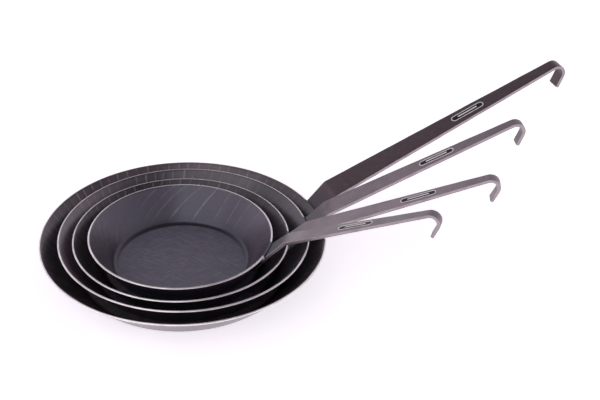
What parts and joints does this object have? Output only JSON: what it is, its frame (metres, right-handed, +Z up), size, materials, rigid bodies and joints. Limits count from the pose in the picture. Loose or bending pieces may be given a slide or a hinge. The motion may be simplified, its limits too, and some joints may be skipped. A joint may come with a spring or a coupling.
{
  "type": "iron skillet set",
  "caption": "Nest of forged-iron skillets, each a shallow flared bowl with a long flat welded handle that ends in a hanging hook.",
  "frame": {"origin": "centre of the largest pan's flat underside, on that pan's axis", "axes": "+Z up out of the bowls; the handles fan out towards +X, the largest one turned furthest towards +Y"},
  "size_m": [0.5942, 0.3563, 0.1569],
  "materials": {
    "bowl_iron": "blued forged iron with fine scale, faint turning and radial press marks, and a bright ground rim",
    "dark_handle_iron": "dark forge scale with bright edges",
    "handle_iron": "grey violet forge scale with bright ground edges",
    "weld_metal": "bare weld bead with fine ripples"
  },
  "bodies": {
    "pan_32cm": {"bowl_32cm": "bowl_iron", "handle_32cm": "dark_handle_iron", "weld_beads_32cm": "weld_metal"},
    "pan_28cm": {"bowl_28cm": "bowl_iron", "handle_28cm": "handle_iron", "weld_beads_28cm": "weld_metal"},
    "pan_24cm": {"bowl_24cm": "bowl_iron", "handle_24cm": "handle_iron", "weld_beads_24cm": "weld_metal"},
    "pan_20cm": {"bowl_20cm": "bowl_iron", "handle_20cm": "handle_iron", "weld_beads_20cm": "weld_metal"}
  },
  "joints": [
    {"name": "lift_pan_28cm", "type": "slide", "parent": "pan_32cm", "child": "pan_28cm", "axis": [0, 0, 1], "range_m": [0, 0.08]},
    {"name": "lift_pan_24cm", "type": "slide", "parent": "pan_28cm", "child": "pan_24cm", "axis": [0, 0, 1], "range_m": [0, 0.08]},
    {"name": "lift_pan_20cm", "type": "slide", "parent": "pan_24cm", "child": "pan_20cm", "axis": [0, 0, 1], "range_m": [0, 0.08]}
  ]
}
